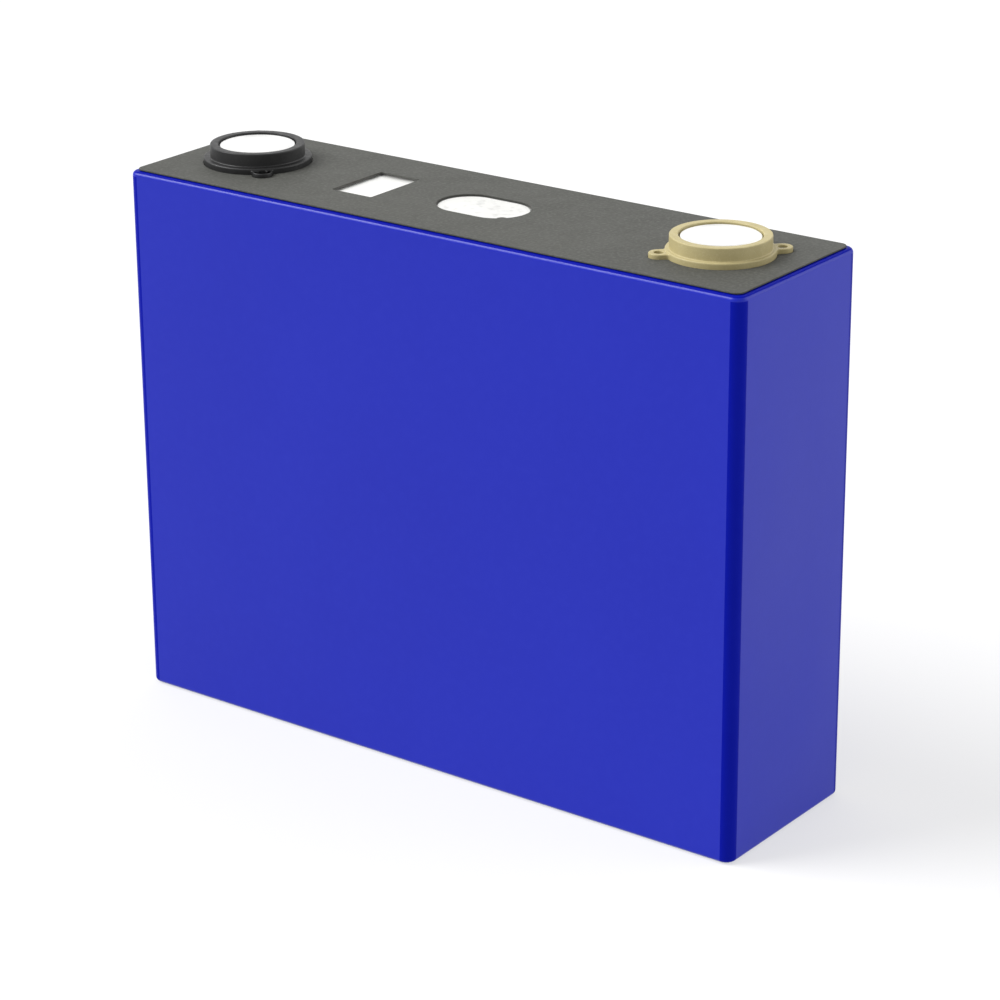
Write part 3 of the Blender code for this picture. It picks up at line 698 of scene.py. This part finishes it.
def clear_film():
    look = Look("clear_film", specular=0.4, Transmission_Weight=0.75, IOR=1.5)
    look.colour(look.mix(look.noise(30.0), (0.72, 0.75, 0.80), (0.80, 0.82, 0.86)))
    look.roughness(look.spread(look.noise(120.0), 0.14, 0.26, 0.3, 0.7))
    look.bump(look.noise(60.0), 0.00006)
    look.bump(look.noise(900.0), 0.000006)
    return look


def grey_sheet():
    """Glass-filled epoxy sheet: matte, faintly woven, darker on its cut edges."""
    look = Look("grey_sheet", specular=0.22)
    patches = tight(look, look.noise(45.0, detail=4.0), 0.4)
    base = look.mix(patches, (0.058, 0.059, 0.053), (0.068, 0.069, 0.062))
    specks = look.spread(look.noise(1300.0, detail=2.0), 0.0, 1.0, 0.45, 0.75)
    grained = look.mix(specks, base, (0.092, 0.093, 0.084))
    look.colour(look.mix(look.edges(0.00012), grained, (0.045, 0.045, 0.042)))
    look.roughness(look.spread(look.noise(200.0, detail=3.0), 0.63, 0.71, 0.3, 0.7))
    weave = look.mix(0.5, look.bands(0.0011, "X", 0.6), look.bands(0.0011, "Y", 0.6))
    look.bump(weave, 0.000010)
    look.bump(look.noise(2200.0, detail=2.0), 0.000012)
    return look


def adhesive():
    """Grey foam adhesive: matte, finely porous."""
    look = Look("adhesive", specular=0.3)
    look.colour(look.mix(look.noise(90.0, detail=4.0), (0.095, 0.095, 0.090), (0.125, 0.125, 0.120)))
    look.roughness(look.spread(look.noise(600.0), 0.6, 0.8, 0.3, 0.7))
    look.bump(look.cells(3500.0), 0.000015)
    return look


def aluminium(name, dark, light, rough, stretch=(0.05, 1.0, 1.0)):
    """Rolled or drawn aluminium: fine lines along one way, a few scratches."""
    look = Look(name, metallic=1.0)
    lines = look.noise(2600.0, stretch=stretch, detail=3.0)
    patches = look.noise(60.0, detail=3.0)
    look.colour(look.mix(tight(look, patches, 0.5), dark, light))
    look.roughness(look.spread(lines, rough[0], rough[1], 0.3, 0.7))
    look.bump(lines, 0.000008)
    scratches = look.noise(500.0, stretch=(0.02, 1.0, 1.0), turn=(0.0, 0.0, 0.5))
    look.bump(look.spread(scratches, 0.0, 1.0, 0.68, 0.74), 0.000004)
    return look


def terminal_face():
    """Faced aluminium: fine turning rings round the disc's own axis, faint handling marks."""
    look = Look("terminal_face", metallic=1.0)
    rings = look.bands(0.00024, "Z", 0.4, kind="RINGS")
    smears = look.noise(260.0, detail=4.0)
    look.colour(look.mix(tight(look, smears, 0.5), (0.88, 0.88, 0.87), (0.96, 0.96, 0.95)))
    look.roughness(look.spread(smears, 0.29, 0.42, 0.3, 0.7))
    look.bump(rings, 0.000004)
    look.bump(look.noise(1800.0, detail=2.0), 0.000004)
    return look


def collar_plastic(name, dark, light, worn_fleck_and_highlight, rough, specular):
    """Glass-filled moulded plastic: fine grain, flow marks, pale flecks, and paler on its edges, partly
    wear and partly a painted highlight.
    """
    look = Look(name, specular=specular)
    flow = look.noise(220.0, stretch=(1.0, 1.0, 0.4), detail=4.0)
    base = look.mix(tight(look, flow, 0.4), dark, light)
    fibres = look.spread(look.noise(3600.0, detail=2.0), 0.0, 0.35, 0.55, 0.8)
    flecked = look.mix(fibres, base, worn_fleck_and_highlight)
    # Paler edges: partly wear, partly a painted highlight where light catches the rims.
    look.colour(look.mix(look.edges(0.00022), flecked, worn_fleck_and_highlight))
    look.roughness(look.spread(look.noise(700.0, detail=3.0), rough[0], rough[1], 0.3, 0.7))
    look.bump(look.noise(1600.0, detail=3.0), 0.000014)
    look.bump(flow, 0.00003)
    return look


def frosted_film():
    """Milky protective film with a few faint creases and greyer specks."""
    look = Look("frosted_film")
    marks = look.spread(look.noise(420.0, detail=2.0), 0.0, 0.7, 0.55, 0.75)
    base = look.mix(look.noise(120.0), (0.60, 0.60, 0.58), (0.66, 0.66, 0.64))
    look.colour(look.mix(marks, base, (0.42, 0.42, 0.41)))
    look.roughness(look.spread(look.noise(300.0), 0.38, 0.55, 0.3, 0.7))
    look.bump(look.noise(180.0, stretch=(1.0, 0.3, 1.0)), 0.00004)
    look.bump(look.noise(1500.0), 0.000006)
    return look


def sheet_metal(name, dark, light, rough):
    """Stamped inner metal parts: rolled grain and faint tarnish."""
    look = Look(name, metallic=1.0)
    tarnish = tight(look, look.noise(110.0, detail=4.0), 0.4)
    look.colour(look.mix(tarnish, dark, light))
    grain = look.noise(1900.0, stretch=(0.08, 1.0, 1.0), detail=3.0)
    look.roughness(look.spread(grain, rough[0], rough[1], 0.3, 0.7))
    look.bump(grain, 0.000008)
    return look


def foil_stack(name, dark, light):
    """A pressed stack of thin foils: fine layers that show on its edges."""
    look = Look(name, metallic=1.0)
    layers = look.bands(0.00012, "DIAGONAL", 2.0)
    crumple = look.noise(320.0, detail=4.0)
    look.colour(look.mix(layers, dark, light))
    look.roughness(look.spread(crumple, 0.29, 0.50, 0.3, 0.7))
    look.bump(crumple, 0.00008)
    look.bump(layers, 0.000012)
    return look


def elastomer(name, dark, light):
    """Moulded rubber: matte, fine-pored, a little bloom."""
    look = Look(name, specular=0.3)
    bloom = tight(look, look.noise(300.0, detail=4.0), 0.4)
    look.colour(look.mix(bloom, dark, light))
    look.roughness(look.spread(look.noise(900.0), 0.62, 0.85, 0.3, 0.7))
    look.bump(look.cells(2200.0), 0.000012)
    return look


def moulded_plastic():
    """Natural polypropylene for the hidden trays: slightly cloudy, satin mould finish."""
    look = Look("lower_plastic", specular=0.45, Subsurface_Weight=0.05)
    cloud = tight(look, look.noise(80.0, detail=3.0), 0.5)
    base = look.mix(cloud, (0.68, 0.69, 0.67), (0.76, 0.77, 0.75))
    look.colour(look.mix(look.edges(0.0002), base, (0.84, 0.84, 0.82)))
    look.roughness(look.spread(look.noise(500.0), 0.42, 0.58, 0.3, 0.7))
    look.bump(look.noise(1500.0, detail=2.0), 0.000012)
    return look


def coating(name, dark, light):
    """Calendered electrode coating: packed powder with faint roller lines."""
    look = Look(name, specular=0.25)
    powder = look.cells(3000.0)
    lines = look.noise(300.0, stretch=(0.05, 1.0, 1.0), detail=2.0)
    look.colour(look.mix(look.spread(powder, 0.0, 1.0, 0.2, 0.7), dark, light))
    look.roughness(look.spread(lines, 0.62, 0.82, 0.3, 0.7))
    look.bump(powder, 0.000012)
    look.bump(lines, 0.00001)
    return look


def separator():
    """Microporous film: milky white, soft sheen, faint stretch wrinkles."""
    look = Look("separator", specular=0.35, Sheen_Weight=0.15)
    look.colour(look.mix(look.noise(70.0), (0.78, 0.78, 0.76), (0.86, 0.86, 0.85)))
    look.roughness(look.spread(look.noise(400.0), 0.55, 0.72, 0.3, 0.7))
    look.bump(look.noise(200.0, stretch=(1.0, 1.0, 0.08)), 0.00003)
    look.bump(look.noise(2500.0), 0.000005)
    return look


def tape():
    """Blue insulating tape: crepe-like backing over trapped air."""
    look = Look("blue_tape", specular=0.45)
    look.colour(look.mix(look.noise(90.0, detail=3.0), (0.035, 0.19, 0.40), (0.055, 0.26, 0.48)))
    look.roughness(look.spread(look.noise(350.0), 0.34, 0.5, 0.3, 0.7))
    look.bump(look.spread(look.noise(160.0), 0.0, 1.0, 0.55, 0.7), 0.00003)
    look.bump(look.noise(1200.0, stretch=(0.2, 1.0, 1.0)), 0.000008)
    return look


def pouch_film():
    look = Look("pouch_film", specular=0.45)
    look.colour(look.mix(look.noise(50.0, detail=3.0), (0.42, 0.44, 0.46), (0.50, 0.52, 0.53)))
    look.roughness(look.spread(look.noise(240.0), 0.29, 0.44, 0.3, 0.7))
    look.bump(look.noise(90.0, stretch=(1.0, 1.0, 0.3), detail=3.0), 0.00008)
    look.bump(look.noise(1400.0), 0.000006)
    return look


def make_looks():
    """Every material by its slot in the record, and a darker, duller blue film that is painted shade on
    the wrap's corners and shoulder top.
    """
    blue = ((0.0016, 0.0088, 0.335), (0.0026, 0.0112, 0.360), (0.0066, 0.0165, 0.378))
    # Painted shade: darker blues for the wrap's corners and shoulder top.
    shaded_blue = ((0.0014, 0.0050, 0.255), (0.0018, 0.0060, 0.275), (0.0026, 0.0080, 0.285))
    tan = ((0.37, 0.315, 0.150), (0.42, 0.36, 0.180), (0.60, 0.54, 0.35))
    black = ((0.0070, 0.0070, 0.0074), (0.010, 0.010, 0.0105), (0.034, 0.034, 0.035))
    return {
        "blue_film": blue_film("blue_film", *blue, 0.27),
        # Painted shade: the blue film darker and almost without reflection.
        "painted_shade_film": blue_film("painted_shade_film", *shaded_blue, 0.03),
        "clear_film": clear_film(),
        "grey_sheet": grey_sheet(),
        "adhesive": adhesive(),
        "can_aluminium": aluminium(
            "can_aluminium", (0.78, 0.78, 0.77), (0.86, 0.86, 0.85), (0.29, 0.42), (1.0, 1.0, 0.05)
        ),
        "cover_aluminium": aluminium(
            "cover_aluminium", (0.88, 0.88, 0.86), (0.96, 0.96, 0.94), (0.44, 0.58)
        ),
        "vent_foil": aluminium("vent_foil", (0.84, 0.84, 0.83), (0.92, 0.92, 0.91), (0.29, 0.38)),
        "frosted_film": frosted_film(),
        "terminal_face": terminal_face(),
        "black_collar": collar_plastic("black_collar", *black, (0.40, 0.54), 0.42),
        "tan_collar": collar_plastic("tan_collar", *tan, (0.40, 0.56), 0.35),
        "positive_metal": sheet_metal(
            "positive_metal", (0.74, 0.74, 0.73), (0.86, 0.86, 0.85), (0.29, 0.42)
        ),
        "copper": sheet_metal("copper", (0.70, 0.32, 0.19), (0.90, 0.50, 0.33), (0.29, 0.40)),
        "aluminium_foil": foil_stack("aluminium_foil", (0.66, 0.66, 0.66), (0.84, 0.84, 0.84)),
        "copper_foil": foil_stack("copper_foil", (0.62, 0.28, 0.16), (0.86, 0.44, 0.27)),
        "seal": elastomer("seal", (0.020, 0.020, 0.021), (0.034, 0.034, 0.035)),
        "rubber": elastomer("rubber", (0.013, 0.013, 0.013), (0.024, 0.024, 0.024)),
        "lower_plastic": moulded_plastic(),
        "anode_coating": coating("anode_coating", (0.040, 0.041, 0.044), (0.085, 0.085, 0.090)),
        "cathode_coating": coating("cathode_coating", (0.014, 0.015, 0.016), (0.034, 0.035, 0.037)),
        "separator": separator(),
        "blue_tape": tape(),
        "pouch_film": pouch_film(),
    }


def dress(looks):
    """Gives each CAD node and each new piece the material of its slot."""
    for part in frame["record"]["subparts"]:
        node = frame["nodes"][part["node"]]
        for place in node.material_slots:
            place.material = looks[part["material_slot"]].material
    for made in bpy.context.scene.objects:
        if "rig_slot" in made:
            made.data.materials.append(looks[made["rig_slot"]].material)
    # The wrap's second material: the blue film darkened as painted shade.
    bpy.data.objects["blue_wrap"].data.materials.append(looks["painted_shade_film"].material)


# The studio


def make_floor():
    bm = bmesh.new()
    bmesh.ops.create_grid(bm, x_segments=1, y_segments=1, size=8.0)
    mesh = bpy.data.meshes.new("floor")
    bm.to_mesh(mesh)
    bm.free()
    floor = bpy.data.objects.new("floor", mesh)
    bpy.context.scene.collection.objects.link(floor)
    look = Look("floor", specular=0.0)
    look.colour(look.mix(look.noise(0.8), (0.32, 0.32, 0.32), (0.33, 0.33, 0.33)))
    look.roughness(look.spread(look.noise(3.0), 0.9, 1.0))
    look.shader.inputs["Emission Color"].default_value = (1.0, 1.0, 1.0, 1.0)
    look.shader.inputs["Emission Strength"].default_value = 0.57
    mesh.materials.append(look.material)


def sun(name, towards, strength, width):
    """A broad light from one side; strength 1 lights a facing white surface to full white."""
    lamp = bpy.data.lights.new(name, "SUN")
    lamp.energy = strength * math.pi
    lamp.angle = math.radians(width)
    made = bpy.data.objects.new(name, lamp)
    made.rotation_mode = "QUATERNION"
    made.rotation_quaternion = Vector(towards).to_track_quat("Z", "Y")
    bpy.context.scene.collection.objects.link(made)


def make_light():
    """A pale surround, a broad key light high on the left in front, and two weak ones behind."""
    world = bpy.data.worlds.new("studio")
    world.use_nodes = True
    backdrop = world.node_tree.nodes["Background"]
    backdrop.inputs["Color"].default_value = (1.0, 1.0, 1.0, 1.0)
    backdrop.inputs["Strength"].default_value = 0.70
    bpy.context.scene.world = world
    sun("key", (-0.62, -0.42, 0.66), 1.15, 40)
    sun("fill", (0.72, 0.60, 0.30), 0.30, 50)
    sun("back", (-0.56, 0.75, 0.36), 0.15, 70)


def make_camera():
    """Close to the photograph's viewing angle: from the front right, a little above."""
    data = bpy.data.cameras.new("camera")
    data.sensor_width = 36.0
    data.lens = 120.3
    data.clip_start = 0.01
    data.clip_end = 100.0
    camera = bpy.data.objects.new("camera", data)
    right = Vector((0.801, 0.598, -0.006))
    back = Vector((0.560, -0.747, 0.358))
    up = back.cross(right).normalized()
    right = up.cross(back).normalized()
    turn = Matrix((right, up, back.normalized())).transposed()
    camera.matrix_world = Matrix.Translation((0.445, -0.586, 0.343)) @ turn.to_4x4()
    bpy.context.scene.collection.objects.link(camera)
    bpy.context.scene.camera = camera


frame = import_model()

make_camera()
make_wrap_film()
make_bottom_film()
make_top_sheet()
make_adhesive()
make_vent_film()
make_collar("positive", "black_collar")
make_collar("negative", "tan_collar")
make_pad("positive")
make_pad("negative")
dress(make_looks())
make_floor()
make_light()
bpy.context.scene.view_settings.view_transform = "Standard"
